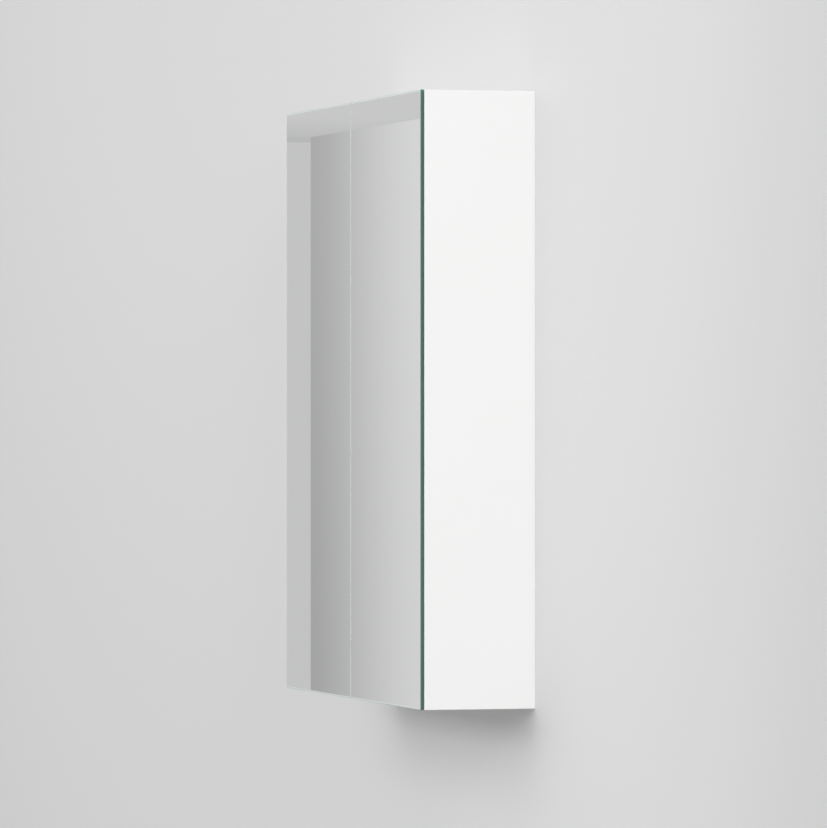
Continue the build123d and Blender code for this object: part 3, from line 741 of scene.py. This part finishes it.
def pressed_wall_plate():
    """Wall plate bent from sheet: a leg with rounded corners and two holes, a step and a lip."""
    low, high = box_in_mm("wall_plate_left")
    solid = bmesh.new()
    centre = (low.x + high.x) / 2
    step_level = high.z - LIP - SHEET / 2
    leg_top = step_level - BEND
    width = high.x - low.x - LEG_NARROWER
    leg = (centre, (low.z + leg_top) / 2, width, leg_top - low.z, PLATE_CORNER)
    holes = [disc(centre, low.z + up, WALL_HOLE) for up in (WALL_HOLE_UP, WALL_HOLE_UP + WALL_HOLE_SPACING)]
    near, far = high.y - SHEET + LEG_INSET, high.y - LEG_INSET
    soft = SOFT["wall plate"]
    plate(solid, [leg, *holes], near, far, soft, facing_wall)
    path = bent_path(leg_top - PLATE_CORNER, step_level, high.y - SHEET / 2, low.y + SHEET / 2, high.z)
    rings = []
    for x, inset in ((low.x, soft), (low.x + soft, 0), (high.x - soft, 0), (high.x, soft)):
        half = SHEET / 2 - inset
        outer = [(x, y + half * across, z + half * up) for (y, z), (across, up) in path]
        inner = [(x, y - half * across, z - half * up) for (y, z), (across, up) in path]
        rings.append(outer + inner[::-1])
    skin(solid, rings)
    return solid


def ribbed_hanger(panel_face):
    """Moulded hanger housing: a rim and ribs behind, screw holes through it and two pegs."""
    low, high = box_in_mm("hanger_left")
    solid = bmesh.new()
    x = (panel_face + high.x) / 2
    z = (low.z + high.z) / 2
    width, height = high.x - panel_face, high.z - low.z
    housing = (x, z, width, height, HANGER_CORNER)
    hollow = (x, z, width - 2 * HANGER_RIM, height - 2 * HANGER_RIM, RIM_CORNER)
    holes = [disc(x + out, z, ADJUSTER) for out in (-ADJUSTER_OUT, ADJUSTER_OUT)]
    plate(solid, [housing, *holes], low.y, high.y - HANGER_FLOOR, SOFT["housing"], facing_wall)
    plate(solid, [housing, hollow], high.y - RIM_DEPTH, high.y, SOFT["rim"], facing_wall)
    ribs = [(x + out, z, RIB, UPRIGHT_RIB, RIB_CORNER) for out in RIBS_OUT]
    rib_levels = (low.z + RIBS_IN[0], high.z + RIBS_IN[1])
    ribs += [(x, rib_level, LEVEL_RIB, RIB, RIB_CORNER) for rib_level in rib_levels]
    for rib in ribs:
        plate(solid, [rib], high.y - RIB_DEPTH, high.y - RIB_BELOW_RIM, SOFT["rib"], facing_wall)
    for peg in (-PEG_OUT, PEG_OUT):
        shape = disc((low.y + high.y) / 2, z + peg, PEG)
        plate(solid, [shape], low.x, panel_face + PEG_OVERLAP, SOFT["peg"], facing_side)
    return solid


def shelf_supports(panel_face):
    """Twelve pins, each with a collar, a tapering neck and a rounded tongue for the glass."""
    low, high = box_in_mm("shelf_pins")
    solid = bmesh.new()
    for y in (low.y + TONGUE / 2, high.y - TONGUE / 2):
        for shelf in SHELVES:
            z = box_in_mm(shelf)[0].z - PIN_BELOW_GLASS
            tongue = (panel_face + TONGUE / 2, y, TONGUE, TONGUE, TONGUE_CORNER)
            collar_end = panel_face + COLLAR_THICK
            pin_end = panel_face + PIN_OVERLAP
            under, over = (z + up for up in TONGUE_LEVELS)
            plate(solid, [disc(y, z, PIN)], low.x, pin_end, SOFT["pin"], facing_side)
            plate(solid, [disc(y, z, COLLAR)], panel_face, collar_end, SOFT["collar"], facing_side)
            plate(solid, [tongue], under, over, SOFT["tongue"], level)
            neck = []
            for step in range(SEGMENTS + 1):
                share = step / SEGMENTS
                x = panel_face + NECK_START + NECK_LENGTH * share
                points = circle(PIN - NECK_TAPER * share ** NECK_CURVE)
                neck.append([(x, y + a, z + NECK_RISE * share + b) for a, b in points])
            skin(solid, neck)
    other = solid.copy()
    mirror(other)
    bmesh.ops.reverse_faces(other, faces=other.faces)
    other_side = bpy.data.meshes.new("other_side")
    other.to_mesh(other_side)
    other.free()
    solid.from_mesh(other_side)
    bpy.data.meshes.remove(other_side)
    return solid


def boss_bead(boss):
    """Bead of glue squeezed out round a hinge boss on the inner mirror, with a slightly wavy edge."""
    low, high = box_in_mm(boss)
    solid = bmesh.new()
    middle = (low + high) / 2
    width, height = high.x - low.x, high.z - low.z
    rings = []
    for i in range(len(outline(width, height, BOSS_CORNER))):
        wave = 1 + 0.16 * math.sin(5.1 * i + middle.z) + 0.1 * math.sin(2.3 * i)
        ring = []
        for out, rise in BEAD_SECTION:
            grown = out * wave if out > 0 else out
            a, b = outline(width + 2 * grown, height + 2 * grown, BOSS_CORNER + grown)[i]
            ring.append((middle.x + a, low.y + rise, middle.z + b))
        rings.append(ring)
    skin(solid, rings, closed=True)
    return solid


for board in [*both("side_panel"), "top_panel", "bottom_panel"]:
    dress(lacquered_board(board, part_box(board)), board)
dress(lacquered_board("back_board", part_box("back_panel"), raw_rear=True), "back_panel")
for glass, silver_side in (("door_mirror", -1), ("inner_mirror", 1)):
    dress(mirror_plate(glass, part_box(f"{glass}_right"), silver_side), *both(glass))
dress(clear_glass("shelf_glass"), *SHELVES)
rubber = clear_rubber("clear_rubber")
dress(rubber, "shelf_pads", "door_bumpers")
dress(beech("beech"), "dowels")
dress(white_plastic("white_plastic"), "cam_caps", *both("hanger_cover"))
casting = zinc_casting("zinc_casting")
dress(casting, "cam_housings", *both("hanger"), *on_hinges("boss", "plate"))
sheet = nickel_steel("nickel_sheet", along=(0.08, 0.08, 1))
dress(sheet, *on_hinges("arm", "arm_link", "boss_link"), "hinge_springs")
dress(nickel_steel("nickel_turned"), "arm_pins", *both("boss_pins"), *both("knee_pins"))
small_steel = nickel_steel("nickel_screws")
dress(small_steel, "plate_screws", "arm_screws", "hanger_screws", "cam_bolts", "shelf_pins")
zinc_plated = nickel_steel("zinc_plated_sheet")
dress(zinc_plated, *both("hanger_hook"), *both("wall_plate"))

panel_face = box_in_mm("side_panel_left")[1].x
supports = shelf_supports(panel_face)
piece("shelf_supports", supports, small_steel, "cabinet", ["shelf_pins"])
for hanger, wall_plate in zip(both("hanger"), both("wall_plate")):
    piece(f"ribbed_{hanger}", ribbed_hanger(panel_face), casting, "cabinet", [hanger])
    bent = pressed_wall_plate()
    piece(f"pressed_{wall_plate}", bent, zinc_plated, "cabinet", [wall_plate])
for hinge in HINGES:
    height, side = hinge.split("_")
    bead = boss_bead(f"hinge_boss_{height}_left")
    piece(f"boss_bead_{hinge}", bead, rubber, f"door_{side}")

studio()
sky(LIGHT_FROM_ABOVE, LIGHT_FROM_BELOW, seen=grey(SKY_GREY))
for name, lamp in LAMPS.items():
    area_lamp(name, **lamp)
camera()
bpy.context.scene.view_settings.view_transform = "Standard"
